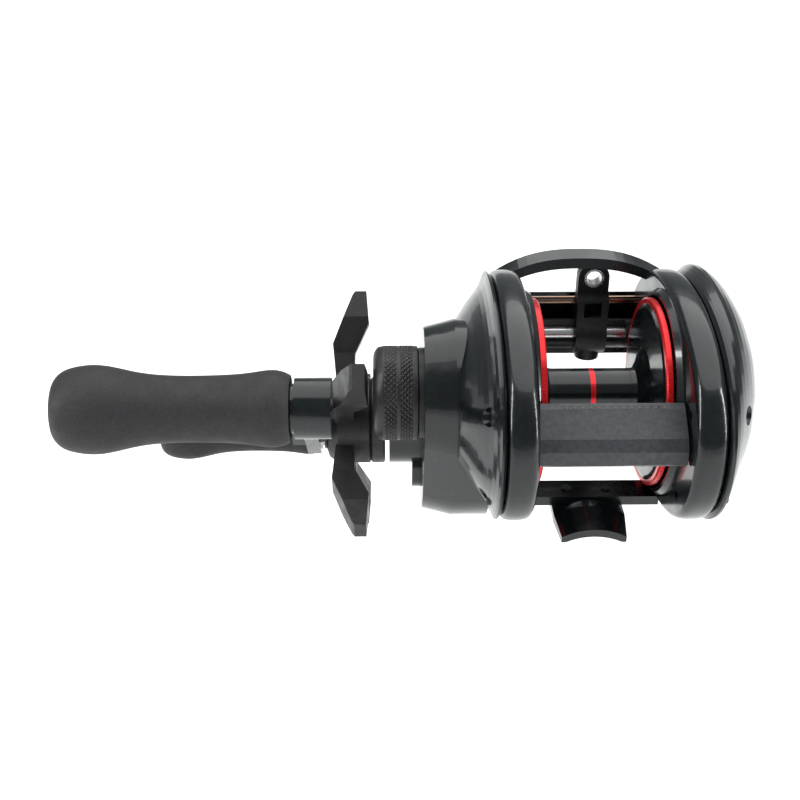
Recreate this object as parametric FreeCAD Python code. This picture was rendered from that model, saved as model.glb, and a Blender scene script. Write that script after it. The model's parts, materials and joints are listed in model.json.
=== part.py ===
"""Low-profile baitcasting reel, left-hand retrieve, as an assembly of separate named parts.

+X runs along the spool shaft to the palm side, +Y to the line guide, +Z up.
The origin is on the underside of the foot, below the spool shaft. Lengths are in millimetres.
"""
import FreeCAD
import Part
import math
import os

V = FreeCAD.Vector
PARTS = {}

# ---------------------------------------------------------------- driving dimensions
SPOOL_Z = 21.5            # height of the spool shaft above the foot's underside
RUN = 0.05                # radial running clearance
GAP = 0.1                 # gap between neighbouring fixed pieces

RIM_R = 17.0              # spool
SPOOL_HALF = 10.0
FLANGE_T = 1.1
ARBOR_R = 4.3
SHAFT_R = 1.5
PIN_X = -12.1             # cross pin that the pinion drives

LIP_R = 18.7              # frame
LIP_X = 11.3
RING_IN = 12.4
RING_OUT = 17.6
WALL_OUT = 14.2
RING_Y = 0.5              # centre, half length and half height of the side rings
RING_Z = 0.3
RING_A = 28.5
RING_B = 19.3

MODULE = 0.47             # gear train
DRIVE_TEETH = 64
PINION_TEETH = 10
DRIVE_C = MODULE * (DRIVE_TEETH + PINION_TEETH) / 2
DRIVE_ANGLE = math.radians(-47.0)
DRIVE_Y = DRIVE_C * math.cos(DRIVE_ANGLE)
DRIVE_Z = DRIVE_C * math.sin(DRIVE_ANGLE)
DRIVE_GEAR_X = (-22.0, -19.4)
YOKE_POST_X = -28.5
DRIVE_SHAFT_R = 2.5

LW_MODULE = 0.5           # level-wind gears
LW_DRIVE_TEETH = 14
LW_IDLER_TEETH = 20
LW_WORM_TEETH = 15
LW_GEAR_X = (-17.4, -15.6)
WORM_Y = 23.0
WORM_Z = DRIVE_Z + math.sqrt(
    (LW_MODULE * (LW_DRIVE_TEETH + 2 * LW_IDLER_TEETH + LW_WORM_TEETH) / 2) ** 2
    - (WORM_Y - DRIVE_Y) ** 2)
WORM_R = 1.7
WORM_TUBE_R = 2.9
GUIDE_X = 3.35             # where the line guide stands at rest
EYE_Z = 12.7
EYE_R = 1.45
GUIDE_ROD_Y = 24.0
GUIDE_ROD_Z = 7.2
GUIDE_ROD_R = 0.8

HOUSING_DRIVE_R = 18.6    # handle side
HOUSING_SPOOL_R = 13.4
HOUSING_WALL = 1.4
COVER_STEP_X = -24.8
COVER_FACE_X = -30.2
COVER_SCREWS = ((-21.5, 7.6), (-20.0, -9.0), (19.0, 9.0))
HANDLE_SCREW_SEAT = -18.9
PALM_SCREW_SEAT = 20.0
TUBE_R = 8.4
TUBE_END_X = -36.4
BOSS_R = 6.4
BOSS_END_X = -36.0
CONTROL_R = 8.6
CONTROL_X = (-38.4, -31.2)

STAR_HUB_X = (-48.6, -37.2)
STAR_HUB_R = 8.4
STAR_ARMS = 5
STAR_TIP_R = 25.4
ARM_CENTRE_X = -50.9      # mid-plane of the arm at the drive shaft and at the knobs
ARM_END_X = -48.4
ARM_T = 2.6
ARM_BOSS_R = 4.9
ARM_BOSS_X = (-51.3, -45.5)
ARM_L = 42.0
ARM_TILT = math.radians(146.5)   # direction of the near knob from the drive shaft, about +X
KNOB_X = (-88.9, -52.0)

DIAL_R = 5.0              # palm side
DIAL_Y = 3.0
DIAL_Z = 3.0

FOOT_T = 2.0
FOOT_HALF = 6.5
HOOD_TOP = 18.5           # height and back edge of the bridge over the line guide
HOOD_BACK = 18.8
HOOD_HALF = 16.8
REAR_BAR_Y = (-8.0, -2.6)
FRONT_BAR_Y = (11.5, 17.0)
FOOT_REAR_Y = -16.5
FOOT_FRONT_Y = 37.0
BAR_TOP_Z = -17.6


# ---------------------------------------------------------------- shape helpers
# y and z in these helpers are measured from the spool shaft.
def at(x, y, z):
    return V(x, y, z + SPOOL_Z)


def cyl(x0, x1, r, y=0.0, z=0.0):
    return Part.makeCylinder(r, x1 - x0, at(x0, y, z), V(1, 0, 0))


def tube(x0, x1, r_out, r_in, y=0.0, z=0.0):
    return cyl(x0, x1, r_out, y, z).cut(cyl(x0 - 1, x1 + 1, r_in, y, z))


def cone(x0, x1, r0, r1, y=0.0, z=0.0):
    if r0 == r1:
        return cyl(x0, x1, r0, y, z)
    return Part.makeCone(r0, r1, x1 - x0, at(x0, y, z), V(1, 0, 0))


def box(x0, x1, y0, y1, z0, z1):
    return Part.makeBox(x1 - x0, y1 - y0, z1 - z0, at(x0, y0, z0))


def prism_x(points, x0, x1):
    """A polygon of (y, z) points, extruded from x0 to x1."""
    wire = Part.makePolygon([at(x0, y, z) for y, z in points + points[:1]])
    return Part.Face(wire).extrude(V(x1 - x0, 0, 0))


def revolve_x(profile, y=0.0, z=0.0):
    """A closed profile of (x, r) points, turned about the X axis through (y, z)."""
    wire = Part.makePolygon([at(x, y, z + r) for x, r in profile + profile[:1]])
    return Part.Face(wire).revolve(at(0, y, z), V(1, 0, 0), 360)


def oval(x, a, b, y=RING_Y, z=RING_Z, power=2.15, points=24):
    """A superellipse wire in the plane x."""
    out = []
    for i in range(points):
        t = 2 * math.pi * i / points
        c, s = math.cos(t), math.sin(t)
        out.append(at(x, y + a * math.copysign(abs(c) ** (2 / power), c),
                      z + b * math.copysign(abs(s) ** (2 / power), s)))
    curve = Part.BSplineCurve()
    curve.interpolate(out, PeriodicFlag=True)
    return Part.Wire([curve.toShape()])


def loft(sections, ruled=False):
    """A solid through ovals given as (x, a, b) or (x, a, b, y, z)."""
    return Part.makeLoft([oval(*s) for s in sections], True, ruled)


def shell_loft(sections, between=2):
    """A ruled solid through ovals (x, a, b, y, z), with rounded steps put in between them."""
    sections = [tuple(s) + (RING_Y, RING_Z)[len(s) - 3:] for s in sections]
    path = []
    for i in range(len(sections) - 1):
        before, start, end = sections[max(i - 1, 0)], sections[i], sections[i + 1]
        after = sections[min(i + 2, len(sections) - 1)]
        path.append(start)
        for k in range(1, between + 1):
            t = k / (between + 1)
            path.append(tuple(
                0.5 * (2 * p1 + (p2 - p0) * t + (2 * p0 - 5 * p1 + 4 * p2 - p3) * t * t
                       + (3 * p1 - p0 - 3 * p2 + p3) * t ** 3)
                for p0, p1, p2, p3 in zip(before, start, end, after)))
    return loft(path + [sections[-1]], True)


def fuse(first, *others):
    return first.fuse(list(others)).removeSplitter()


def rounded(shape, radius, test):
    """The shape with a fillet on the edges that pass the test, or unchanged if it can't be made."""
    edges = [e for e in shape.Edges if test(e)]
    try:
        made = shape.makeFillet(radius, edges)
        return made if made.isValid() and made.Volume > 0 else shape
    except Exception:
        return shape


def spun(shape, angle, y=0.0, z=0.0):
    copy = shape.copy()
    copy.rotate(at(0, y, z), V(1, 0, 0), math.degrees(angle))
    return copy


def hull_of_circles(x0, x1, r0, r1, circles):
    """A tapered housing around several (y, z, extra radius) circles, each joined to the next."""
    solid = None
    for y, z, extra in circles:
        piece = cone(x0, x1, r0 + extra, r1 + extra, y, z)
        solid = piece if solid is None else solid.fuse(piece)
    (ya, za, ea), (yb, zb, eb) = circles
    length, away = math.hypot(yb - ya, zb - za), math.atan2(zb - za, yb - ya)
    lean = math.acos((ea - eb) / length)
    wires = []
    for x, r in ((x0, r0), (x1, r1)):
        corners = [at(x, yc + (r + e) * math.cos(away + s * lean), zc + (r + e) * math.sin(away + s * lean))
                   for yc, zc, e, s in ((ya, za, ea, 1), (yb, zb, eb, 1), (yb, zb, eb, -1), (ya, za, ea, -1))]
        wires.append(Part.makePolygon(corners + corners[:1]))
    return solid.fuse(Part.makeLoft(wires, True, True)).removeSplitter()


def gear(teeth, module, x0, x1, phase, bore, y=0.0, z=0.0, root_share=0.33):
    """A straight-cut gear with a tooth centred on the angle phase."""
    pitch = 2 * math.pi / teeth
    tip_r, root_r = module * (teeth / 2 + 0.8), module * (teeth / 2 - 1.15)
    tip_half, root_half = 0.11 * pitch, root_share * pitch
    points = []
    for i in range(teeth):
        middle = phase + i * pitch
        for r, a in ((root_r, -root_half), (tip_r, -tip_half), (tip_r, tip_half), (root_r, root_half)):
            points.append((y + r * math.cos(middle + a), z + r * math.sin(middle + a)))
    return prism_x(points, x0, x1).cut(cyl(x0 - 1, x1 + 1, bore, y, z))


def bearing(x0, x1, r_out, r_in, y=0.0, z=0.0):
    """A shielded ball bearing: two races and a recessed shield, as one node of three solids."""
    third = (r_out - r_in) / 3
    outer = tube(x0, x1, r_out, r_out - third, y, z)
    inner = tube(x0, x1, r_in + third, r_in, y, z)
    shield = tube(x0 + 0.2, x1 - 0.2, r_out - third, r_in + third, y, z)
    return Part.makeCompound([outer, inner, shield])


def screw(x0, x1, r, y, z, head_r, head_t, drive=True):
    """A cap screw along X, its head at x1, with a cross recess."""
    body = cyl(x0, x1 - head_t, r, y, z).fuse(cyl(x1 - head_t, x1, head_r, y, z)).removeSplitter()
    if drive:
        arm, deep = head_r * 0.7, head_t * 0.5
        body = body.cut(box(x1 - deep, x1 + 1, y - arm, y + arm, z - 0.2, z + 0.2))
        body = body.cut(box(x1 - deep, x1 + 1, y - 0.2, y + 0.2, z - arm, z + arm))
    return body


def add(name, shape):
    PARTS[name] = shape
    return shape


# ---------------------------------------------------------------- frame
def ring_band(x0, x1, wall, grow=0.0):
    """An oval band with rounded outer edges."""
    mid = (x0 + x1) / 2
    a, b = RING_A + grow, RING_B + grow
    outer = loft([(x0, a - 0.9, b - 0.9), (x0 + 0.9, a, b), (mid, a + 0.2, b + 0.2),
                  (x1 - 0.9, a, b), (x1, a - 0.9, b - 0.9)])
    inner = loft([(x0 - 1, a - wall, b - wall), (x1 + 1, a - wall, b - wall)])
    return outer.cut(inner)


def plate(x0, x1):
    """A flat oval wall that fills a ring."""
    return loft([(x0, RING_A - 1.0, RING_B - 1.0), (x1, RING_A - 1.0, RING_B - 1.0)])


def hood():
    """The arched bridge over the line guide, from ring to ring."""
    wires = []
    steps = 20
    for i in range(steps + 1):
        share = 2 * i / steps - 1
        x = HOOD_HALF * share
        drop = 4.4 * abs(share) ** 2.5
        top, back = HOOD_TOP - drop, HOOD_BACK - 0.3 * drop
        section = [(0.0, -2.4), (0.4, -0.5), (4.0, 0.0), (7.5, -2.0), (8.6, -3.6), (7.6, -4.0), (6.2, -2.4), (3.5, -2.0)]
        points = [(back + dy, top + dz) for dy, dz in section]
        wires.append(Part.makePolygon([at(x, y, z) for y, z in points + points[:1]]))
    return Part.makeLoft(wires, True, True)


def make_frame():
    """The one-piece frame: two side rings with their lips and walls, joined by four bridges."""
    solids = []
    for side in (-1, 1):
        x0, x1 = sorted((side * RING_IN, side * RING_OUT))
        solids.append(ring_band(x0, x1, 1.9))
        edge = side * LIP_X
        lip = revolve_x([(edge, RIM_R + 0.5), (edge, RIM_R + 1.2), (edge + side * 0.9, LIP_R),
                         (side * WALL_OUT, LIP_R + 0.2), (side * WALL_OUT, RIM_R + 0.5)])
        solids.append(lip)
        w0, w1 = sorted((side * RING_IN, side * WALL_OUT))
        solids.append(plate(w0, w1).cut(cyl(w0 - 1, w1 + 1, RIM_R + 1.0)))
    back_wall = cyl(-WALL_OUT, -RING_IN, RIM_R + 1.2)
    bearing_seat = cyl(-WALL_OUT - 1.2, -RING_IN + 0.01, 6.4)
    solids += [back_wall, bearing_seat, hood()]
    span = RING_IN + 0.6
    solids.append(box(-span, span, *REAR_BAR_Y, -SPOOL_Z + FOOT_T + 0.05, BAR_TOP_Z))
    solids.append(box(-span, span, *FRONT_BAR_Y, -SPOOL_Z + FOOT_T + 0.05, BAR_TOP_Z))
    for side in (-1, 1):
        x0, x1 = sorted((side * 12.0, side * 15.5))
        solids.append(box(x0, x1, *FRONT_BAR_Y, -SPOOL_Z + FOOT_T + 0.05, -14.5))
    solids.append(prism_x([(27.0, -6.2), (28.2, -5.4), (28.6, 1.0), (28.0, 7.2), (26.9, 7.6),
                           (27.3, 1.0)], -span, span))
    for y, z in COVER_SCREWS:
        solids += [cyl(-RING_OUT, -WALL_OUT, 2.3, y, z), cyl(WALL_OUT, RING_OUT, 2.3, y, z)]
    frame = fuse(*solids)
    cuts = [cyl(-20, -8, 5.0 + 0.01),                                   # pinion bearing
            box(-15.5, -11, -23.4, -19.0, -3.6, 4.0),                   # clutch link slot
            cyl(-20, -12.7, 4.2 + 0.01, DRIVE_Y, DRIVE_Z),              # drive shaft bearing
            cyl(-20, -8, 2.2, WORM_Y, WORM_Z),
            cyl(8, 15, 2.2, WORM_Y, WORM_Z),
            cyl(-20, -15.2, 4.4, DRIVE_Y, DRIVE_Z),                     # room for the level-wind gears
            cyl(-20, -15.2, 4.5, WORM_Y, WORM_Z),
            cyl(-13.6, 13.6, GUIDE_ROD_R + 0.01, GUIDE_ROD_Y, GUIDE_ROD_Z),
            cyl(-13.4, 13.4, WORM_TUBE_R + 0.01, WORM_Y, WORM_Z),
            cyl(-SPOOL_HALF - FLANGE_T - 0.6, 40, RIM_R + 0.35)]        # room for the spool
    cuts += [cyl(-20, 20, 0.8, y, z) for y, z in COVER_SCREWS]
    return frame.cut(cuts[0]).cut(cuts[1:])


def foot_tab(y0, y1, taper):
    """An arched foot tab that lies across a bar, thinning to its end."""
    rise = 1.5
    radius = (FOOT_HALF ** 2 + rise ** 2) / (2 * rise)
    wires = []
    far, near = (y1, y0) if abs(y0) > abs(y1) else (y0, y1)
    for y, half, thin in ((far, FOOT_HALF, 0.0), (far + 0.55 * (near - far), FOOT_HALF, 0.0),
                          (near, FOOT_HALF - taper, 0.5)):
        low = -SPOOL_Z
        rise_here = radius - math.sqrt(radius ** 2 - half ** 2)
        bottom = Part.Arc(at(-half + 0.8, y, low), at(0, y, low + rise_here), at(half - 0.8, y, low)).toShape()
        top = Part.Arc(at(half, y, low + FOOT_T - thin - 0.4), at(0, y, low + FOOT_T - thin + rise_here),
                       at(-half, y, low + FOOT_T - thin - 0.4)).toShape()
        right = Part.makePolygon([at(half - 0.8, y, low), at(half, y, low),
                                  at(half, y, low + FOOT_T - thin - 0.4)])
        left = Part.makePolygon([at(-half, y, low + FOOT_T - thin - 0.4), at(-half, y, low),
                                 at(-half + 0.8, y, low)])
        wires.append(Part.Wire([bottom, *right.Edges, top, *left.Edges]))
    return Part.makeLoft(wires, True, True)


def in_spans(frame):
    """The frame as solids that don't bend round its openings: the two sides, and each bridge between them."""
    solids = []
    for x0, x1 in ((-80, -LIP_X), (-LIP_X, LIP_X), (LIP_X, 80)):
        solids += [s for s in frame.common(box(x0, x1, -80, 80, -80, 80)).Solids if s.Volume > 0.5]
    return Part.makeCompound(solids)


def make_feet(frame):
    """Two foot tabs let into the bars, and the rivets that hold them."""
    rear = foot_tab(FOOT_REAR_Y, REAR_BAR_Y[1], 0.7)
    front = foot_tab(FRONT_BAR_Y[0], FOOT_FRONT_Y, 1.0)
    rivets = []
    for y0, y1 in (REAR_BAR_Y, FRONT_BAR_Y):
        for side in (-1, 1):
            low = -SPOOL_Z + 1.0
            rivets.append(Part.makeCylinder(0.9, BAR_TOP_Z - low + 0.3, at(side * 3.6, (y0 + y1) / 2, low)))
    for rivet in rivets:
        frame, rear, front = frame.cut(rivet), rear.cut(rivet), front.cut(rivet)
    frame = frame.cut([rear, front])
    add("frame", in_spans(frame))
    add("rear_foot", rear)
    add("front_foot", front)
    add("foot_rivets", Part.makeCompound(rivets))


# ---------------------------------------------------------------- covers
def housing(inset, back, start):
    """The gear housing, straight from start and then tapered, set in by inset and ending back short of its face."""
    circles = [(DRIVE_Y, DRIVE_Z, HOUSING_DRIVE_R - inset), (0.0, 0.0, HOUSING_SPOOL_R - inset)]
    step = COVER_STEP_X + back / 2
    straight = hull_of_circles(step, start, 0.0, 0.0, circles)
    taper = hull_of_circles(COVER_FACE_X + back, step, -1.4, 0.0, circles)
    return straight.fuse(taper)


def screw_bosses(skin, x0, x1, seat, side):
    """Bosses inside a cover, and the counterbored holes through them."""
    bosses = [cyl(x0, x1, 2.3, y, z).common(skin) for y, z in COVER_SCREWS]
    far = seat + side * 20
    holes = [cyl(*sorted((seat, far)), 1.6, y, z) for y, z in COVER_SCREWS]
    holes += [cyl(*sorted((0, far)), 0.81, y, z) for y, z in COVER_SCREWS]
    return bosses, holes


def make_handle_cover():
    """The handle-side shell with its stepped gear housing, clutch tube and cast-control boss."""
    edge = -RING_OUT - GAP
    skin = shell_loft([(edge, RING_A - 0.6, RING_B - 0.6), (edge - 0.8, RING_A - 0.1, RING_B - 0.1),
                 (-19.6, 25.4, 16.6), (-21.8, 21.5, 14.1), (-24.4, 16.0, 11.0)])
    core = loft([(edge + 1, 26.2, 17.0), (-18.1, 26.2, 17.0), (-19.1, 23.4, 14.8), (-21.2, 19.6, 12.4),
                 (-22.9, 14.6, 9.8)], True)
    outer = skin.fuse(housing(0.0, 0.0, edge - 0.1)).fuse(cyl(TUBE_END_X, COVER_FACE_X + 2, TUBE_R, DRIVE_Y, DRIVE_Z))
    outer = outer.fuse(cyl(COVER_FACE_X - 1.8, COVER_FACE_X + 1, 5.2, DRIVE_Y - 2.0, DRIVE_Z - 8.2))
    outer = outer.fuse(cyl(BOSS_END_X, COVER_FACE_X + 2, BOSS_R)).removeSplitter()
    inner = core.fuse(housing(HOUSING_WALL, 1.6, -19.15))
    bosses, holes = screw_bosses(skin, -25.0, edge, HANDLE_SCREW_SEAT, -1)
    shell = outer.cut(inner).fuse(bosses).cut(box(edge, 0, -60, 60, -60, 60))
    shell = shell.cut(holes + [cyl(-40, -20, 4.0 + 0.01),                       # spool bearing and shaft end
                               cyl(-35.6, -20, 6.6 + 0.01, DRIVE_Y, DRIVE_Z),   # one-way bearing
                               cyl(-40, -20, 5.2, DRIVE_Y, DRIVE_Z),
                               cyl(-19.3, -17.0, 4.4, DRIVE_Y, DRIVE_Z)])       # ratchet
    return add("handle_cover", shell)


def make_palm_cover():
    """The palm-side shell, with the spool bearing seat inside and the brake dial's well outside."""
    edge = RING_OUT + GAP
    skin = shell_loft([(edge, RING_A - 0.6, RING_B - 0.6), (edge + 1.0, RING_A + 0.1, RING_B + 0.1),
                 (21.0, 27.0, 17.6, 3.0, 2.2), (24.0, 21.5, 14.2, 3.5, 3.0), (26.3, 14.0, 9.5, 3.5, 3.2),
                 (27.3, 8.0, 6.0, DIAL_Y, DIAL_Z)])
    core = loft([(edge - 1, 26.2, 17.0), (19.0, 26.2, 16.9), (20.6, 24.4, 15.0, 2.6, 1.8),
                 (22.8, 19.4, 12.2, 3.3, 2.6), (24.4, 13.5, 8.5, 3.5, 3.0)], True)
    bosses, holes = screw_bosses(skin, edge, 25.0, PALM_SCREW_SEAT, 1)
    bearing_post = cyl(edge + 0.1, 25.2, 6.4).common(skin)
    shell = skin.cut(core).fuse([bearing_post, *bosses])
    shell = shell.cut(holes + [cyl(0, 22.6, 4.0 + 0.01), cyl(24, 30, 1.65, DIAL_Y, DIAL_Z),
                               cyl(26.4, 30, DIAL_R + 0.15, DIAL_Y, DIAL_Z)])
    return add("palm_cover", shell)


def make_cover_screws():
    """Three screws that hold each cover, their heads sunk in its face."""
    head_t = 1.0
    palm = [screw(15.0, PALM_SCREW_SEAT + head_t, 0.79, y, z, 1.5, head_t) for y, z in COVER_SCREWS]
    handle = []
    for y, z in COVER_SCREWS:
        one = screw(15.0, -HANDLE_SCREW_SEAT + head_t, 0.79, 0, 0, 1.5, head_t)
        one.rotate(at(0, 0, 0), V(0, 0, 1), 180)
        one.translate(V(0, y, z))
        handle.append(one)
    add("cover_screws", Part.makeCompound(palm + handle))


# ---------------------------------------------------------------- spool
def make_spool():
    """Spool with two thin flanges, its shaft, rim rings, arbor stripe, and bearings."""
    half, out = SPOOL_HALF, SPOOL_HALF + FLANGE_T
    profile = [(-out, SHAFT_R), (-out, 5.4), (-out + 0.3, RIM_R - 1.6), (-out, RIM_R - 1.0), (-half, RIM_R - 1.0),
               (-half + 0.25, RIM_R - 1.8), (-half + 0.5, 8.0), (-half + 1.1, 6.4), (-half + 2.2, ARBOR_R + 0.1),
               (-half + 3.0, ARBOR_R)]
    mirrored = [(-x, r) for x, r in reversed(profile)]
    stripe = 0.45
    body = revolve_x(profile + mirrored)
    body = body.cut(tube(-stripe, stripe, ARBOR_R + 1, ARBOR_R - 0.25))
    add("spool", body)
    add("arbor_stripe", tube(-stripe, stripe, ARBOR_R + 0.02, ARBOR_R - 0.25))
    ring = revolve_x([(half - 0.05, RIM_R - 1.0), (half - 0.05, RIM_R - 0.2), (half + 0.15, RIM_R),
                      (out - 0.1, RIM_R), (out, RIM_R - 0.15), (out, RIM_R - 1.0)])
    ring_left = revolve_x([(-half + 0.05, RIM_R - 1.0), (-half + 0.05, RIM_R - 0.2), (-half - 0.15, RIM_R),
                           (-out + 0.1, RIM_R), (-out, RIM_R - 0.15), (-out, RIM_R - 1.0)])
    add("rim_rings", Part.makeCompound([ring, ring_left]))
    shaft = fuse(cyl(-34.0, 21.4, SHAFT_R), cyl(-34.4, -34.0, 0.8), cyl(21.4, 21.8, 0.8))
    pin = Part.makeCylinder(0.4, 5.0, at(PIN_X, 0, -2.5), V(0, 0, 1))
    add("spool_shaft", shaft.cut(pin))
    add("spool_drive_pin", pin)
    add("spool_bearings", Part.makeCompound([bearing(x, x + 2.4, 4.0, SHAFT_R + RUN) for x in (-31.4, 18.0)]))


def make_brake():
    """The magnetic cast brake: a conductor ring on the spool, magnets on a carrier, and the outer dial."""
    x = SPOOL_HALF + FLANGE_T
    add("brake_rotor", tube(x, x + 3.0, 9.4, 8.6).fuse(tube(x, x + 0.6, 8.6, 5.8)).removeSplitter())
    carrier = tube(15.0, 17.3, 9.9, 2.2).fuse(tube(17.3, 17.8, 6.4, 4.4)).removeSplitter()
    magnets = []
    for i in range(6):
        y, z = 7.1 * math.cos(i * math.pi / 3), 7.1 * math.sin(i * math.pi / 3)
        magnets.append(cyl(14.8, 16.4, 1.2, y, z))
    add("magnet_carrier", Part.makeCompound([carrier.cut(magnets), *magnets]))
    dome = revolve_x([(26.45, 0), (26.45, DIAL_R), (27.05, DIAL_R), (27.3, DIAL_R - 0.4), (27.4, DIAL_R - 1.4),
                      (27.4, 0)], DIAL_Y, DIAL_Z)
    slot = box(27.0, 28.0, DIAL_Y - 3.2, DIAL_Y + 3.2, DIAL_Z - 0.45, DIAL_Z + 0.45)
    dial = fuse(dome, cyl(25.3, 26.45, 1.6, DIAL_Y, DIAL_Z)).cut(slot)
    add("brake_dial", dial)


# ---------------------------------------------------------------- drive train
def make_pinion():
    """The sliding pinion, meshed with the drive gear, and its bearing."""
    x0, x1 = -23.8, -18.6
    toward = DRIVE_ANGLE
    teeth = gear(PINION_TEETH, MODULE, x0, x1, toward + math.pi / PINION_TEETH, SHAFT_R + RUN, root_share=0.26)
    front = PIN_X + 0.35
    body = fuse(teeth, tube(x1, front, 1.95, SHAFT_R + RUN), tube(-25.2, x0, 1.85, SHAFT_R + RUN),
                tube(-27.0, -25.2, 2.6, SHAFT_R + RUN))
    slot = box(PIN_X - 0.5, front + 1, -0.5, 0.5, -4, 4)
    add("pinion_gear", body.cut(slot))
    add("pinion_bearing", bearing(-WALL_OUT - 1.0, -12.6 - 0.2, 5.0, 2.0 + 0.02))


def make_yoke():
    """The clutch yoke that slides the pinion, with its two posts and closed-coil springs."""
    x0, x1, reach = -25.1, -23.9, 7.6
    yoke = fuse(box(x0, x1, -3.5, 3.5, -reach, reach), cyl(x0, x1, 2.4, 0, reach), cyl(x0, x1, 2.4, 0, -reach))
    yoke = yoke.cut(cyl(x0 - 1, x1 + 1, 1.9 + RUN))
    yoke = yoke.cut([cyl(x0 - 1, x1 + 1, 0.9, 0, z) for z in (-reach, reach)])
    yoke = yoke.cut(box(x0 - 1, x1 + 1, 0, 4, -1.9 - RUN, 1.9 + RUN))
    add("clutch_yoke", spun(yoke, DRIVE_ANGLE))
    posts, springs = [], []
    for z in (-reach, reach):
        posts.append(spun(cyl(YOKE_POST_X, -WALL_OUT, 0.8, 0, z), DRIVE_ANGLE))
        coil, profile = 0.36, []
        for i in range(8):
            profile += [(x0 - 0.1 - coil * i, 1.35), (x0 - 0.1 - coil * (i + 0.5), 1.6)]
        spring = revolve_x(profile + [(x0 - 0.1 - coil * 8, 1.35), (x0 - 0.1 - coil * 8, 1.1), (x0 - 0.1, 1.1)], 0, z)
        springs.append(spun(spring, DRIVE_ANGLE))
    add("yoke_posts", Part.makeCompound(posts))
    add("yoke_springs", Part.makeCompound(springs))


def make_drive():
    """Drive shaft, main gear with its drag stack, ratchet, level-wind gear and one-way clutch."""
    y, z = DRIVE_Y, DRIVE_Z
    x0, x1 = DRIVE_GEAR_X
    back = DRIVE_ANGLE + math.pi
    add("drive_shaft", fuse(cyl(-55.2, -12.75, DRIVE_SHAFT_R, y, z), cyl(-18.9, -18.3, 3.8, y, z)))
    main = gear(DRIVE_TEETH, MODULE, x0, x1, back, DRIVE_SHAFT_R + RUN, y, z)
    holes = [cyl(x0 - 1, x1 + 1, 1.6, y + 10.6 * math.cos(a), z + 10.6 * math.sin(a))
             for a in (back + i * math.pi / 3 for i in range(6))]
    main = main.cut(holes).cut(tube(x0 - 1, x0 + 0.9, 8.2, 0.1, y, z))
    add("drive_gear", main)
    add("drag_stack", Part.makeCompound([tube(x0 + 0.3, x0 + 0.9, 8.1, DRIVE_SHAFT_R + RUN, y, z),
                                         tube(x0 - 0.7, x0 + 0.3, 7.9, DRIVE_SHAFT_R + RUN, y, z)]))
    toothed = gear(12, 0.58, -18.3, -17.7, 0.0, DRIVE_SHAFT_R + RUN, y, z)
    add("ratchet_wheel", toothed)
    toward = math.atan2(WORM_Z - z, WORM_Y - y)
    add("level_wind_drive_gear",
        gear(LW_DRIVE_TEETH, LW_MODULE, *LW_GEAR_X, toward, DRIVE_SHAFT_R, y, z).cut(
            cyl(-30, 0, DRIVE_SHAFT_R, y, z)))
    add("drive_bearing_inner", bearing(-WALL_OUT, -12.7, 4.2, DRIVE_SHAFT_R + RUN, y, z))
    add("one_way_sleeve", tube(-35.4, -25.6, 4.0, DRIVE_SHAFT_R, y, z))
    race = tube(-35.4, -29.4, 6.6, 5.5, y, z)
    rollers = []
    for i in range(8):
        a = i * math.pi / 4
        rollers.append(cyl(-34.6, -30.2, 0.66, y + 4.77 * math.cos(a), z + 4.77 * math.sin(a)))
    add("one_way_bearing", Part.makeCompound([race, *rollers]))
    cup = cone(-25.5, -24.9, 3.4, 5.6, y, z).fuse(cone(-24.9, -24.3, 5.6, 3.4, y, z)).removeSplitter()
    add("spring_washers", cup.cut(cyl(-30, -20, DRIVE_SHAFT_R + RUN, y, z)))


def make_star():
    """The star: a domed hub with five dished arms, and the drag nut inside it."""
    y, z = DRIVE_Y, DRIVE_Z
    x0, x1 = STAR_HUB_X
    hub = revolve_x([(x1, 0), (x1, STAR_HUB_R - 0.3), (x1 - 0.3, STAR_HUB_R), (x1 - 2.4, STAR_HUB_R),
                     (x1 - 2.7, STAR_HUB_R - 0.4), (x1 - 3.0, STAR_HUB_R), (x0 + 2.4, STAR_HUB_R),
                     (x0 + 0.6, STAR_HUB_R - 1.2), (x0, STAR_HUB_R - 3.0), (x0, 0)], y, z)
    side = [(-46.4, 6.0), (-47.2, 14.8), (-43.4, 24.2), (-42.6, STAR_TIP_R), (-40.7, STAR_TIP_R - 0.2),
            (-40.2, 18.6), (-42.9, 12.8), (-43.2, 6.0)]
    arms = []
    for i in range(STAR_ARMS):
        wire = Part.makePolygon([at(x, y, z + r) for x, r in side + side[:1]])
        blade = Part.Face(wire).extrude(V(0, 7.0, 0))
        blade.translate(V(0, -3.5, 0))
        outline = [at(-60, y - 3.3, z + 5), at(-60, y - 2.6, z + 13), at(-60, y - 3.4, z + 20),
                   at(-60, y - 1.9, z + 25), at(-60, y + 2.6, z + 25), at(-60, y + 3.1, z + 20),
                   at(-60, y + 2.2, z + 13), at(-60, y + 3.3, z + 5)]
        trim = Part.Face(Part.makePolygon(outline + outline[:1])).extrude(V(40, 0, 0))
        arms.append(spun(blade.common(trim), math.radians(-30.0) + i * 2 * math.pi / STAR_ARMS, y, z))
    star = fuse(hub, *arms)
    star = star.cut([cyl(x1 - 4.4, x1 + 1, 5.6, y, z), cyl(x0 - 1, x1, DRIVE_SHAFT_R + 0.2, y, z)])
    add("star_wheel", star)
    nut = Part.makePolygon([at(x1 - 4.3, y + 5.0 * math.cos(i * math.pi / 3), z + 5.0 * math.sin(i * math.pi / 3))
                            for i in range(7)])
    add("drag_nut", Part.Face(nut).extrude(V(3.6, 0, 0)).cut(cyl(-60, 0, DRIVE_SHAFT_R + RUN, y, z)))


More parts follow.
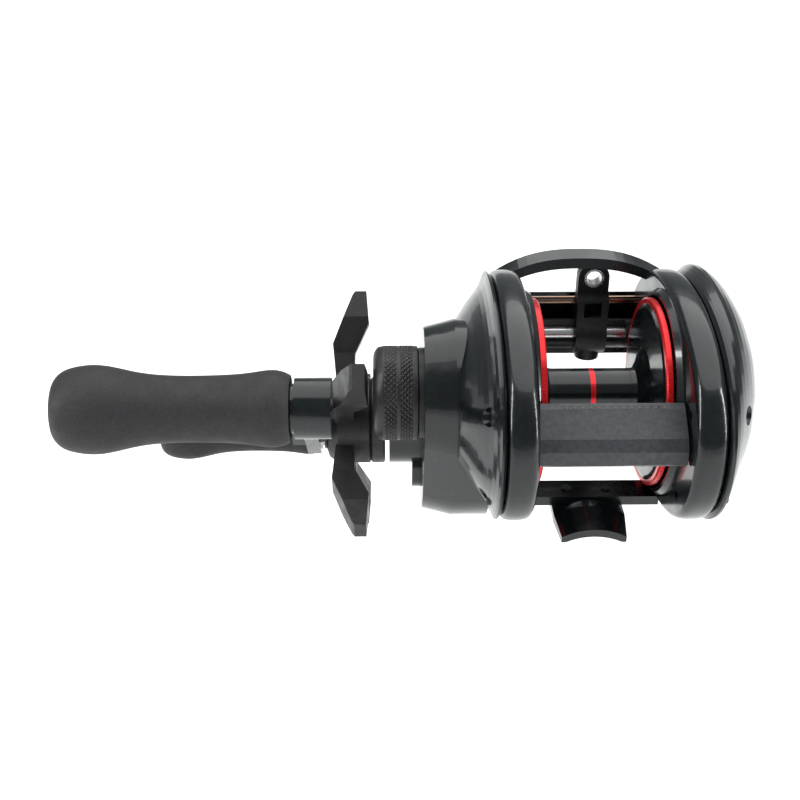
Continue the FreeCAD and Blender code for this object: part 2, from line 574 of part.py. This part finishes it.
def make_control():
    """The cast-control cap over the spool shaft's end, with its collar and brake pad."""
    x0, x1 = CONTROL_X
    cap = revolve_x([(x1, BOSS_R + 0.1), (x1, CONTROL_R - 0.2), (x1 - 0.2, CONTROL_R), (x0 + 0.3, CONTROL_R),
                     (x0 + 0.1, CONTROL_R - 0.2), (x0 - 0.8, CONTROL_R - 1.5), (x0 - 0.8, 0), (x0 + 1.4, 0),
                     (x0 + 1.4, 4.4), (x0 + 1.0, 4.4), (x0 + 1.0, BOSS_R + 0.1)])
    add("cast_control_knob", cap)
    add("cast_control_collar", tube(x1 + 0.1, COVER_FACE_X - 0.02, 8.2, BOSS_R + 0.02))
    add("spool_tension_pad", cyl(x0 + 1.4, x0 + 3.6, 3.4))


def make_level_wind():
    """Worm shaft with its crossed groove, slotted tube, rod, line guide, pawl, and gears."""
    y, z = WORM_Y, WORM_Z
    groove_turns, pitch, half = 3, 5.0, 7.5
    worm = cyl(-14.6, 14.1, WORM_R, y, z)
    for hand in (False, True):
        helix = Part.makeHelix(pitch, 2 * half, WORM_R, 0, hand)
        section = Part.Wire([Part.Circle(V(WORM_R, 0, 0), V(0, 1, 0), 0.42).toShape()])
        cutter = Part.Wire(helix.Edges).makePipeShell([section], True, True)
        cutter.rotate(V(0, 0, 0), V(0, 1, 0), 90)
        cutter.translate(at(-half, y, z))
        worm = worm.cut(cutter)
    add("worm_shaft", fuse(worm, cyl(-17.6, -14.6, 1.1, y, z)))
    shell = tube(-13.4, 13.4, WORM_TUBE_R, WORM_R + 0.12, y, z)
    window = box(-10.4, 10.4, y - 4, y - 0.3, z - 0.7, z + 4)
    pawl_slot = box(-9.6, 9.6, y - 1.1, y + 1.1, z - 4, z)
    add("worm_tube", shell.cut([window, pawl_slot]))
    add("worm_bushings", Part.makeCompound([tube(-WALL_OUT, -13.42, 2.19, WORM_R + RUN, y, z),
                                            tube(13.42, WALL_OUT, 2.19, WORM_R + RUN, y, z)]))
    add("guide_rod", cyl(-13.5, 13.5, GUIDE_ROD_R, GUIDE_ROD_Y, GUIDE_ROD_Z))
    gears_from = math.atan2(z - DRIVE_Z, y - DRIVE_Y)
    reach = LW_MODULE * (LW_DRIVE_TEETH + LW_IDLER_TEETH) / 2
    iy, iz = DRIVE_Y + reach * math.cos(gears_from), DRIVE_Z + reach * math.sin(gears_from)
    half_tooth = math.pi / LW_IDLER_TEETH
    add("level_wind_idler", gear(LW_IDLER_TEETH, LW_MODULE, *LW_GEAR_X, gears_from + math.pi + half_tooth,
                                 1.0 + RUN, iy, iz))
    idler_far = (gears_from - (gears_from + math.pi + half_tooth)) / (2 * half_tooth)
    tooth_off = (idler_far - round(idler_far)) * 2 * math.pi / LW_WORM_TEETH
    add("worm_gear", gear(LW_WORM_TEETH, LW_MODULE, *LW_GEAR_X,
                          gears_from + math.pi - tooth_off + math.pi / LW_WORM_TEETH, 1.1, y, z))
    add("idler_post", fuse(cyl(-17.6, -WALL_OUT + 0.0, 1.0, iy, iz), cyl(-18.0, -17.6, 1.5, iy, iz)))
    make_guide(y, z)


def upright(r, z0, z1, y):
    """A vertical cylinder on the line guide."""
    return Part.makeCylinder(r, z1 - z0, at(GUIDE_X, y, z0), V(0, 0, 1))


def lengthwise(r, y0, y1, x, z):
    """A cylinder along Y on the line guide."""
    return Part.makeCylinder(r, y1 - y0, at(x, y0, z), V(0, 1, 0))


def make_guide(y, z):
    """The line guide: a barrel on the worm tube, two cheeks round the rod, and the eye plate."""
    half, plate_r, back, front = 3.0, 3.0, y - 1.0, y + 1.5
    x0, x1 = GUIDE_X - half, GUIDE_X + half
    neck = prism_x([(y - 2.9, z + 1.0), (y - 2.9, GUIDE_ROD_Z + 1.6), (back, GUIDE_ROD_Z + 2.6), (back, EYE_Z),
                    (front, EYE_Z), (front, z + 1.0)], x0, x1)
    guide = fuse(cyl(x0, x1, 3.8, y, z), neck, upright(2.5, z - 4.2, z, y), lengthwise(plate_r, back, front, GUIDE_X, EYE_Z))
    cuts = [cyl(-20, 20, WORM_TUBE_R + RUN, y, z), cyl(-20, 20, GUIDE_ROD_R + RUN, GUIDE_ROD_Y, GUIDE_ROD_Z),
            lengthwise(EYE_R + 0.45, y - 5, y + 5, GUIDE_X, EYE_Z), upright(1.05, z - 6, z, y),
            box(x0 + 1.3, x1 - 1.3, y - 3.2, y + 0.2, GUIDE_ROD_Z - 2.1, GUIDE_ROD_Z + 1.0)]
    add("line_guide", guide.cut(cuts[0]).cut(cuts[1:]))
    eye = lengthwise(EYE_R + 0.44, back - 0.2, front + 0.2, GUIDE_X, EYE_Z)
    add("line_guide_eye", eye.cut(lengthwise(EYE_R, y - 5, y + 5, GUIDE_X, EYE_Z)))
    add("pawl", upright(1.0, z - 4.0, z - WORM_R - 0.1, y))
    add("pawl_cap", fuse(upright(2.4, z - 5.0, z - 4.2, y), upright(1.0, z - 4.2, z - 4.0, y)))


# ---------------------------------------------------------------- thumb bar and handle
def make_thumb_bar():
    """The clutch bar behind the spool, with its side ears, grip pad and the link to the clutch."""
    half = RING_IN - 0.35
    outline = [(-17.9, 8.0), (-19.2, 7.6), (-23.4, 4.4), (-24.6, 2.6), (-24.7, 0.3), (-23.6, -0.7), (-20.8, 0.4),
               (-18.4, 3.6)]
    bar = prism_x(outline, -half, half)
    bar = bar.cut(cyl(-LIP_X, LIP_X, RIM_R + 1.25))
    for side in (-1, 1):
        x0, x1 = sorted((side * (LIP_X - 1.5), side * 20))
        bar = bar.cut(cyl(x0, x1, LIP_R + 0.7))
    pad = prism_x([(-18.4, 7.9), (-19.2, 7.6), (-23.2, 4.55), (-22.9, 4.1), (-18.9, 7.1)], -8.8, 8.8)
    pad = pad.common(bar)
    add("thumb_bar", bar.cut(pad))
    add("thumb_bar_pad", pad)
    link = box(-16.8, -half, -21.8, -19.9, 0.4, 3.4)
    tail = box(-16.8, -15.6, -21.8, -10.0, 0.4, 3.0)
    add("clutch_link", fuse(link, tail))


def arm_mid_x(s):
    """X of the arm's mid-plane, s along the arm from the drive shaft: flat, then swept in, then flat."""
    share = min(max((abs(s) - 12.0) / 22.0, 0.0), 1.0)
    return ARM_CENTRE_X + (ARM_END_X - ARM_CENTRE_X) * (1 - math.cos(math.pi * share)) / 2


def arm_side():
    """The arm seen along its thin edge, as a polygon of (s, x) points."""
    reach, steps = ARM_L + 6.0, 48
    along = [reach * (2 * i / steps - 1) for i in range(steps + 1)]
    face = [(s, arm_mid_x(s) - ARM_T / 2) for s in along]
    return face + [(s, arm_mid_x(s) + ARM_T / 2) for s in reversed(along)]


def arm_outline():
    """The arm seen along the drive shaft: wide at the middle, round at the knobs."""
    points, steps, eye = [], 10, 4.8
    for end in (1, -1):
        for i in range(steps + 1):
            a = -math.pi / 2 + math.pi * i / steps
            points.append((end * (ARM_L + eye * math.cos(a)), end * eye * math.sin(a)))
        points += [(end * 24.0, end * 3.2), (end * 10.0, end * 4.2), (0.0, end * 6.6), (end * -10.0, end * 4.2),
                   (end * -24.0, end * 3.2)]
    return points


def make_handle():
    """The handle arm, its nut and lock plate, and a knob with its spindle at each end."""
    y, z = DRIVE_Y, DRIVE_Z
    flat = prism_x([(y + u, z + v) for u, v in arm_outline()], ARM_CENTRE_X - 4, ARM_END_X + 4)
    wire = [at(x, y + s, z - 10) for s, x in arm_side()]
    bent = Part.Face(Part.makePolygon(wire + wire[:1])).extrude(V(0, 0, 20))
    ends = [(y + ARM_L * math.cos(a), z + ARM_L * math.sin(a)) for a in (ARM_TILT, ARM_TILT + math.pi)]
    boss0, boss1 = ARM_BOSS_X
    arm = fuse(spun(flat.common(bent), ARM_TILT, y, z), *[cyl(boss0, boss1, ARM_BOSS_R, *end) for end in ends])
    lock_hole = (y + 9.6 * math.cos(ARM_TILT), z + 9.6 * math.sin(ARM_TILT))
    bores = [cyl(-60, -40, DRIVE_SHAFT_R + 0.01, y, z), cyl(-60, -40, 0.81, *lock_hole)]
    bores += [cyl(-60, -40, 1.6, *end) for end in ends]
    add("handle_arm", arm.cut(bores))
    outer, inner = ARM_CENTRE_X - ARM_T / 2, ARM_CENTRE_X + ARM_T / 2
    add("handle_spacer", tube(inner, STAR_HUB_X[0] - 0.3, 4.4, DRIVE_SHAFT_R + 0.01, y, z))
    nut_t, nut_r, plate_t = 3.0, 4.9, 0.8
    corners = [at(outer - nut_t, y + nut_r * math.cos(i * math.pi / 3), z + nut_r * math.sin(i * math.pi / 3))
               for i in range(7)]
    nut = Part.Face(Part.makePolygon(corners)).extrude(V(nut_t, 0, 0))
    add("handle_nut", nut.cut(cyl(-60, -40, DRIVE_SHAFT_R + 0.01, y, z)))
    lock = spun(box(outer - plate_t, outer, y - 6.4, y + 12.0, z - 3.0, z + 3.0), ARM_TILT, y, z)
    lock = lock.cut([nut, cyl(-60, -40, 0.81, *lock_hole)])
    add("nut_lock_plate", max(lock.Solids, key=lambda solid: solid.Volume))
    add("lock_screw", lock_screw(outer - plate_t, inner, *lock_hole))
    for name, end in zip(("near", "far"), ends):
        make_knob(name, *end)
    add("knob_spindles", Part.makeCompound([knob_spindle(*end) for end in ends]))
    x_neck = KNOB_X[1]
    add("knob_bushes", Part.makeCompound([tube(x_neck - 2.4, x_neck, 3.4, 2.1 + 0.01, *end) for end in ends]))


def lock_screw(x_seat, x_tip, y, z):
    """A small cross-head screw along X with its head towards -X."""
    head_t, arm = 0.7, 1.0
    body = fuse(cyl(x_seat - head_t, x_seat, 1.5, y, z), cyl(x_seat, x_tip, 0.8, y, z))
    return body.cut([box(x_seat - 2, x_seat - head_t / 2, y - arm, y + arm, z - 0.18, z + 0.18),
                     box(x_seat - 2, x_seat - head_t / 2, y - 0.18, y + 0.18, z - arm, z + arm)])


def make_knob(name, y, z):
    """A waisted round grip that turns on its spindle, and the cap at its end."""
    x0, x1 = KNOB_X
    length = x1 - x0
    curve = Part.BSplineCurve()
    curve.interpolate([at(x0 + share * length, y, z + r)
                       for share, r in ((0.0, 5.0), (0.03, 6.1), (0.09, 6.85), (0.17, 7.1), (0.34, 5.95), (0.5, 5.35),
                                        (0.67, 5.35), (0.84, 5.8), (0.94, 6.1), (1.0, 5.3))])
    rest = Part.makePolygon([at(x1, y, z + 5.3), at(x1, y, z), at(x0, y, z), at(x0, y, z + 5.0)])
    grip = Part.Face(Part.Wire([curve.toShape(), *rest.Edges])).revolve(at(0, y, z), V(1, 0, 0), 360)
    grip = grip.cut([cyl(x0 + 6, x1 + 1, 2.1 + RUN, y, z), cyl(x1 - 2.4, x1 + 1, 3.4 + RUN, y, z),
                     cyl(x0 - 1, x0 + 1.2, 3.61, y, z), cyl(x0 + 1.0, x0 + 7, 2.9, y, z)])
    add(f"knob_{name}", grip)
    add(f"knob_cap_{name}", cyl(x0 - 0.2, x0 + 1.2, 3.6, y, z))


def knob_spindle(y, z):
    """The spindle riveted in the arm: collar, shaft, and the head that keeps the knob on."""
    x0, x1 = KNOB_X
    arm_face, arm_back = ARM_BOSS_X
    collar = x1 + 0.15
    return fuse(cyl(x0 + 5.0, collar, 2.1, y, z), cyl(collar, arm_face, 4.0, y, z),
                cyl(arm_face, arm_back + 0.15, 1.59, y, z), cyl(x0 + 3.4, x0 + 5.0, 2.5, y, z))


def main():
    make_feet(make_frame())
    make_handle_cover()
    make_palm_cover()
    make_cover_screws()
    make_spool()
    make_brake()
    make_pinion()
    make_yoke()
    make_drive()
    make_star()
    make_control()
    make_level_wind()
    make_thumb_bar()
    make_handle()
    os.makedirs("parts", exist_ok=True)
    for name, shape in PARTS.items():
        bad = [s for s in shape.Solids if not s.isValid() or s.Volume <= 0]
        if bad or not shape.Solids:
            print("BAD", name, len(shape.Solids), len(bad))
        shape.exportStep(f"parts/{name}.step")
        print(name, len(shape.Solids), round(shape.Volume, 2))


main()
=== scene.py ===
import bmesh
import bpy
import json
import math
from mathutils import Matrix, Vector


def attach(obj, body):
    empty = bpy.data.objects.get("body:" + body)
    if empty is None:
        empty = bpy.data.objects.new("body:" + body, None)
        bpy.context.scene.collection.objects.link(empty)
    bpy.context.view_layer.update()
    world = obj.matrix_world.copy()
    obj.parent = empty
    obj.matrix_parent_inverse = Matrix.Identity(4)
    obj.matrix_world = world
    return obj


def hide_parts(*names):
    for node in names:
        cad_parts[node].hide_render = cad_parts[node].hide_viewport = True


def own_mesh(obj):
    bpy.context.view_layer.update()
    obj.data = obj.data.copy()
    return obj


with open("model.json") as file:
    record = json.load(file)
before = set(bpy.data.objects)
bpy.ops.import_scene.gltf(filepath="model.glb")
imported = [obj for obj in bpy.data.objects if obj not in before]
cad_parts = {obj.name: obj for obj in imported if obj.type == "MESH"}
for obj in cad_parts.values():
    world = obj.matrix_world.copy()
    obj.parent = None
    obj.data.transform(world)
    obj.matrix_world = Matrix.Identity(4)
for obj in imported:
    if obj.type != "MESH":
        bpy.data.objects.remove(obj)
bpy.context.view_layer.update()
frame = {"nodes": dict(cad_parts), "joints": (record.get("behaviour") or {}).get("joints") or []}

nodes = frame["nodes"]
joints = {j["name"]: j for j in frame["joints"]}
MM = 0.001
SHARP = math.radians(32)         # edges of the CAD meshes steeper than this stay sharp
FINE_SHARP = math.radians(40)    # the same for the pieces drawn here
BEVEL_FROM = math.radians(40)    # edges steeper than this get the bevel
FLOOR_SIZE, FLOOR_Z = 40.0, -0.046    # metres

spool_z = joints["spool_spin"]["pos_m"][2]    # height of the spool's axis


# ---------------------------------------------------------------- camera, floor and light
def place_camera():
    """A camera behind and above the reel, with the body in the right half of the picture."""
    yaw, pitch = math.radians(0.7), math.radians(30.0)
    distance, aside, above = 0.203, -0.0344, -0.0015
    ahead = Vector((math.sin(yaw) * math.cos(pitch), math.cos(yaw) * math.cos(pitch), -math.sin(pitch)))
    right = Vector((math.cos(yaw), -math.sin(yaw), 0.0))
    up = right.cross(ahead)
    camera = bpy.data.objects.new("camera", bpy.data.cameras.new("camera"))
    bpy.context.scene.collection.objects.link(camera)
    camera.data.sensor_width = 36.0
    camera.data.lens = 50.3
    camera.data.clip_start = 0.005
    turn = Matrix((right, up, -ahead)).transposed().to_4x4()
    camera.matrix_world = Matrix.Translation(
        Vector((0, 0, spool_z)) - ahead * distance + right * aside + up * above) @ turn
    bpy.context.scene.camera = camera


def area_light(name, place, target, size, power):
    data = bpy.data.lights.new(name, "AREA")
    data.shape = "RECTANGLE"
    data.size, data.size_y = size
    data.energy = power
    light = bpy.data.objects.new(name, data)
    light.location = place
    light.rotation_euler = (Vector(target) - Vector(place)).to_track_quat("-Z", "Y").to_euler()
    bpy.context.scene.collection.objects.link(light)


def make_stage():
    """A pale floor under a wide soft sun, with a dim room and two strip lights for the reflections."""
    bpy.ops.mesh.primitive_plane_add(size=FLOOR_SIZE, location=(0, 0, FLOOR_Z))
    floor = bpy.context.object
    floor.name = "floor"
    paint = bpy.data.materials.new("floor_paint")
    paint.use_nodes = True
    shader = paint.node_tree.nodes["Principled BSDF"]
    shader.inputs["Base Color"].default_value = (0.95, 0.95, 0.95, 1)
    shader.inputs["Roughness"].default_value = 0.9
    shader.inputs["Specular IOR Level"].default_value = 0.0
    floor.data.materials.append(paint)
    world = bpy.data.worlds.new("room")
    world.use_nodes = True
    world.node_tree.nodes["Background"].inputs[0].default_value = (0.93, 0.98, 1.0, 1)
    world.node_tree.nodes["Background"].inputs[1].default_value = 0.30
    bpy.context.scene.world = world
    sky = bpy.data.objects.new("sky", bpy.data.lights.new("sky", "SUN"))
    sky.data.energy = 3.0
    sky.data.angle = math.radians(80)
    sky.rotation_euler = (math.radians(-18), math.radians(8), 0)
    bpy.context.scene.collection.objects.link(sky)
    area_light("left", (-0.45, -0.15, 0.30), (-0.02, 0, 0.01), (0.05, 0.5), 2.4)
    area_light("right", (0.45, -0.20, 0.25), (0.02, 0, 0.01), (0.05, 0.5), 2.4)
    bpy.context.scene.view_settings.view_transform = "Standard"


# ---------------------------------------------------------------- materials
class Shader:
    """A procedural material: a Principled shader with the nodes that feed it."""

    def __init__(self, name, colour, metallic, roughness, **sockets):
        self.material = bpy.data.materials.new(name)
        self.material.use_nodes = True
        self.tree = self.material.node_tree
        self.main = self.tree.nodes["Principled BSDF"]
        self.main.inputs["Base Color"].default_value = (*colour, 1)
        self.main.inputs["Metallic"].default_value = metallic
        self.main.inputs["Roughness"].default_value = roughness
        for socket, value in sockets.items():
            self.main.inputs[socket.replace("_", " ")].default_value = value
        self.place = self.add("ShaderNodeTexCoord").outputs["Object"]

    def add(self, kind, **values):
        node = self.tree.nodes.new(kind)
        for key, value in values.items():
            if hasattr(node, key):
                setattr(node, key, value)
            else:
                node.inputs[key.replace("_", " ")].default_value = value
        return node

    def link(self, source, target):
        self.tree.links.new(source, target)

    def noise(self, scale, detail, stretch=(1, 1, 1)):
        """Noise of so many cells per metre, stretched along the axes."""
        mapping = self.add("ShaderNodeMapping")
        mapping.inputs["Scale"].default_value = stretch
        self.link(self.place, mapping.inputs["Vector"])
        node = self.add("ShaderNodeTexNoise", Scale=scale, Detail=detail)
        self.link(mapping.outputs[0], node.inputs["Vector"])
        return node.outputs["Fac"]

    def spread(self, value, low, high):
        """Maps a noise value onto the range low to high."""
        node = self.add("ShaderNodeMapRange")
        node.inputs["From Min"].default_value = 0.3
        node.inputs["From Max"].default_value = 0.7
        node.inputs["To Min"].default_value = low
        node.inputs["To Max"].default_value = high
        self.link(value, node.inputs["Value"])
        return node.outputs[0]

    def vary_roughness(self, value, low, high):
        self.link(self.spread(value, low, high), self.main.inputs["Roughness"])

    def vary_colour(self, value, first, second):
        node = self.add("ShaderNodeMix", data_type="RGBA")
        mix_a = [s for s in node.inputs if s.name == "A" and s.type == "RGBA"][0]
        mix_b = [s for s in node.inputs if s.name == "B" and s.type == "RGBA"][0]
        mix_a.default_value = (*first, 1)
        mix_b.default_value = (*second, 1)
        self.link(self.spread(value, 0, 1), node.inputs["Factor"])
        result = [s for s in node.outputs if s.type == "RGBA"][0]
        self.link(result, self.main.inputs["Base Color"])

    def bump(self, value, depth, strength):
        node = self.add("ShaderNodeBump", Strength=strength, Distance=depth)
        self.link(value, node.inputs["Height"])
        self.link(node.outputs[0], self.main.inputs["Normal"])


def gloss_shell():
    """Black lacquer with a faint flake."""
    low, high = (0.002, 0.003, 0.0035), (0.004, 0.0065, 0.0075)
    s = Shader("gloss_shell", low, 0.0, 0.2, Coat_Weight=0.3, Coat_Roughness=0.05, IOR=1.36)
    s.vary_colour(s.noise(900, 2), low, high)
    s.vary_roughness(s.noise(160, 4), 0.16, 0.3)
    s.bump(s.noise(60, 2), 0.00004, 0.3)
    return s.material


def satin_black(name="satin_black", colour=(0.014, 0.014, 0.015)):
    s = Shader(name, colour, 0.2, 0.42, IOR=1.45)
    s.vary_colour(s.noise(1400, 3), tuple(0.8 * c for c in colour), tuple(1.3 * c for c in colour))
    s.vary_roughness(s.noise(500, 4), 0.34, 0.52)
    s.bump(s.noise(6000, 2), 0.00001, 0.25)
    return s.material


def red_anodised():
    s = Shader("red_anodised", (0.62, 0.012, 0.018), 0.6, 0.28)
    s.vary_colour(s.noise(700, 2), (0.58, 0.010, 0.014), (0.70, 0.018, 0.024))
    s.vary_roughness(s.noise(1500, 3, (1, 6, 6)), 0.2, 0.36)
    s.bump(s.noise(4000, 2, (0.1, 8, 8)), 0.000004, 0.3)
    return s.material


def rubber():
    s = Shader("rubber", (0.016, 0.016, 0.017), 0.0, 0.62, IOR=1.38)
    s.vary_colour(s.noise(2500, 3), (0.012, 0.012, 0.013), (0.020, 0.020, 0.021))
    s.vary_roughness(s.noise(300, 3), 0.55, 0.7)
    s.bump(s.noise(9000, 2), 0.00002, 0.4)
    return s.material


def steel(name="steel", colour=(0.62, 0.62, 0.63), roughness=0.25):
    s = Shader(name, colour, 1.0, roughness)
    s.vary_roughness(s.noise(1800, 3, (0.1, 8, 8)), roughness * 0.7, roughness * 1.4)
    s.bump(s.noise(5000, 2, (0.1, 8, 8)), 0.000004, 0.3)
    return s.material


def brass():
    s = Shader("brass", (0.72, 0.50, 0.20), 1.0, 0.3)
    s.vary_colour(s.noise(600, 3), (0.66, 0.44, 0.17), (0.76, 0.55, 0.24))
    s.vary_roughness(s.noise(1500, 3), 0.22, 0.4)
    s.bump(s.noise(5000, 2, (0.1, 8, 8)), 0.000004, 0.3)
    return s.material


def pale_plastic():
    s = Shader("pale_plastic", (0.72, 0.70, 0.64), 0.0, 0.45)
    s.vary_colour(s.noise(400, 2), (0.70, 0.68, 0.62), (0.75, 0.73, 0.67))
    s.vary_roughness(s.noise(900, 3), 0.38, 0.55)
    s.bump(s.noise(5000, 2), 0.00001, 0.2)
    return s.material


def grip_pad():
    """Dark plastic with a fine diagonal weave pressed in it, its colour darker in the grooves as painted
    shade and lighter on the ridges as painted highlight.
    """
    s = Shader("grip_pad", (0.03, 0.031, 0.033), 0.0, 0.5)
    waves = []
    for angle in (45, -45):
        mapping = s.add("ShaderNodeMapping")
        mapping.inputs["Rotation"].default_value = (0, 0, math.radians(angle))
        s.link(s.place, mapping.inputs["Vector"])
        wave = s.add("ShaderNodeTexWave", wave_type="BANDS", Scale=330.0)
        s.link(mapping.outputs[0], wave.inputs["Vector"])
        waves.append(wave.outputs["Fac"])
    both = s.add("ShaderNodeMath", operation="MULTIPLY")
    s.link(waves[0], both.inputs[0])
    s.link(waves[1], both.inputs[1])
    s.bump(both.outputs[0], 0.00018, 0.7)
    # painted shade in the weave's grooves and painted highlight on its ridges: the colour follows the
    # weave's height
    s.vary_colour(both.outputs[0], (0.012, 0.013, 0.014), (0.045, 0.047, 0.050))
    s.vary_roughness(s.noise(700, 3), 0.42, 0.58)
    return s.material


def paint_nodes():
    """Gives every CAD node its material."""
    gloss, satin, red, soft, metal = gloss_shell(), satin_black(), red_anodised(), rubber(), steel()
    gold, pale, pad = brass(), pale_plastic(), grip_pad()
    bronze = steel("bronze", (0.30, 0.20, 0.15), 0.2)
    bar = satin_black("bar_plastic", (0.030, 0.032, 0.035))
    looks = {
        gloss: ("frame", "rear_foot", "front_foot", "handle_cover", "palm_cover", "spool", "handle_arm",
                "knob_cap_near", "knob_cap_far", "handle_nut", "nut_lock_plate", "brake_dial",
                "knob_spindles"),
        satin: ("star_wheel", "cast_control_knob", "cast_control_collar", "foot_rivets", "worm_tube",
                "line_guide", "pawl_cap", "clutch_link", "magnet_carrier", "handle_spacer", "knob_bushes",
                "cover_screws"),
        red: ("arbor_stripe", "rim_rings"),
        soft: ("knob_near", "knob_far"),
        gold: ("drive_gear", "pinion_gear", "drag_nut"),
        pale: ("level_wind_drive_gear", "level_wind_idler", "worm_gear", "clutch_yoke", "spool_tension_pad"),
        bronze: ("guide_rod",),
        bar: ("thumb_bar",),
        pad: ("thumb_bar_pad",),
    }
    by_node = {node: look for look, names in looks.items() for node in names}
    for name, obj in nodes.items():
        obj.data.materials.clear()
        obj.data.materials.append(by_node.get(name, metal))


def smooth_nodes():
    """Shades the CAD meshes smooth with their sharp edges kept, and bevels the edges of five of them."""
    for obj in nodes.values():
        for polygon in obj.data.polygons:
            polygon.use_smooth = True
        obj.data.set_sharp_from_angle(angle=SHARP)
    for name, width in (("star_wheel", 0.35), ("handle_arm", 0.4), ("thumb_bar", 0.3), ("rear_foot", 0.25),
                        ("line_guide", 0.2)):
        bevel = nodes[name].modifiers.new("edges", "BEVEL")
        bevel.width = width * MM
        bevel.segments = 2
        bevel.limit_method = "ANGLE"
        bevel.angle_limit = BEVEL_FROM
        bevel.use_clamp_overlap = True
    for name in ("handle_cover", "palm_cover", "frame", "star_wheel", "handle_arm", "rear_foot",
                 "front_foot"):
        weighted = nodes[name].modifiers.new("normals", "WEIGHTED_NORMAL")
        weighted.keep_sharp = True


# ---------------------------------------------------------------- pieces drawn in more detail
def grid_piece(name, rows):
    """A mesh of quads between rows of points; each row closes on itself, and the ends are capped."""
    mesh = bpy.data.meshes.new(name)
    count = len(rows[0])
    points = [p for row in rows for p in row]
    faces = []
    for i in range(len(rows) - 1):
        for j in range(count):
            k = (j + 1) % count
            faces.append((i * count + j, i * count + k, (i + 1) * count + k, (i + 1) * count + j))
    faces.append(tuple(reversed(range(count))))
    faces.append(tuple(range((len(rows) - 1) * count, len(rows) * count)))
    mesh.from_pydata(points, [], faces)
    mesh.update()
    work = bmesh.new()
    work.from_mesh(mesh)
    bmesh.ops.recalc_face_normals(work, faces=work.faces)
    work.to_mesh(mesh)
    work.free()
    for polygon in mesh.polygons:
        polygon.use_smooth = True
    mesh.set_sharp_from_angle(angle=FINE_SHARP)
    obj = bpy.data.objects.new(name, mesh)
    bpy.context.scene.collection.objects.link(obj)
    return obj


def ring_row(x, radius, y, z, count, wave=None):
    """A circle of points about X; wave gives each point's own cut in the radius."""
    row = []
    for j in range(count):
        a = 2 * math.pi * j / count
        r = radius - (wave(a) if wave else 0.0)
        row.append((x, y + r * math.cos(a), z + r * math.sin(a)))
    return row


def knurled_cap():
    """The cast-control cap: two knurled bands between smooth ones, a rounded rim and a dished face."""
    lo, hi = node_box("cast_control_knob")
    x0, x1 = lo.x, hi.x                       # x0 is the outer face
    radius = (hi.y - lo.y) / 2
    bore = 6.6 * MM                           # radius at the open end
    ridges, deep = (54), 0.24 * MM
    slope, sunk = 1.6, 0.12                   # steepness of the grooves; share of deep of the smooth lines
    count = ridges * 8
    pitch = 2 * math.pi * radius / ridges
    rows = []
    for x, r in ((x1, bore), (x1, radius - 0.3 * MM), (x1 - 0.15 * MM, radius - 0.1 * MM)):
        rows.append(ring_row(x, r, 0, spool_z, count))
    start, end = x1 - 0.7 * MM, x0 + 1.7 * MM
    seam = (start + end) / 2
    plain = 0.22 * MM                         # half width of the smooth line at each end and at the seam
    steps = 56
    for i in range(steps + 1):
        x = start + (end - start) * i / steps
        edge = min(abs(x - start), abs(x - end), abs(x - seam)) / plain
        share = min(max(edge - 1.0, 0.0), 1.0)
        turn = 2 * math.pi * x / pitch

        def cut(a, turn=turn, share=share):
            near = min(abs(math.sin((a * ridges + turn) / 2)), abs(math.sin((a * ridges - turn) / 2)))
            groove = max(1 - near * slope, 0.0)
            return deep * (share * groove + (sunk if share == 0 else 0))
        rows.append(ring_row(x, radius - 0.02 * MM, 0, spool_z, count, cut))
    # the rim and the dished face: how far in from the outer face, and how far in from the radius
    for depth, inset in ((1.6, 0.1), (0.9, 0.25), (0.45, 0.7), (0.12, 1.3), (0.0, 1.9), (0.05, 2.4),
                         (0.3, 2.8)):
        rows.append(ring_row(x0 + depth * MM, radius - inset * MM, 0, spool_z, count))
    rows.append(ring_row(x0 + 0.35 * MM, 0.4 * MM, 0, spool_z, count))
    cap = grid_piece("cast_control_knurl", rows)
    cap.data.materials.append(nodes["cast_control_knob"].data.materials[0])
    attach(cap, "cast_control")
    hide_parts("cast_control_knob")


def coil_springs():
    """The two clutch springs as open coils."""
    lo, hi = node_box("yoke_springs")
    outer, wire, turns = 1.6 * MM, 0.14 * MM, 5    # radius over the coil, radius of the wire
    round_steps = 10          # points round the wire
    steps = turns * 28
    pieces = []
    for side, y, z in (("lower", lo.y + outer, lo.z + outer), ("upper", hi.y - outer, hi.z - outer)):
        rows = []
        for i in range(steps + 1):
            a = 2 * math.pi * turns * i / steps
            x = lo.x + wire + (hi.x - lo.x - 2 * wire) * i / steps
            out = Vector((0, math.cos(a), math.sin(a)))
            row = []
            for j in range(round_steps):
                b = 2 * math.pi * j / round_steps
                p = out * (outer - wire + wire * math.cos(b))
                row.append((x + wire * math.sin(b), y + p.y, z + p.z))
            rows.append(row)
        coil = grid_piece("clutch_spring_" + side, rows)
        coil.data.materials.append(nodes["yoke_springs"].data.materials[0])
        pieces.append(coil)
    for coil in pieces:
        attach(coil, "base")
        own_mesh(coil)
    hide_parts("yoke_springs")


def node_box(name):
    """The corners of a CAD node's own box."""
    obj = nodes[name]
    points = [obj.matrix_world @ v.co for v in obj.data.vertices]
    lo, hi = (Vector(pick(p[i] for p in points) for i in range(3)) for pick in (min, max))
    return lo, hi


place_camera()
make_stage()
paint_nodes()
smooth_nodes()
knurled_cap()
coil_springs()
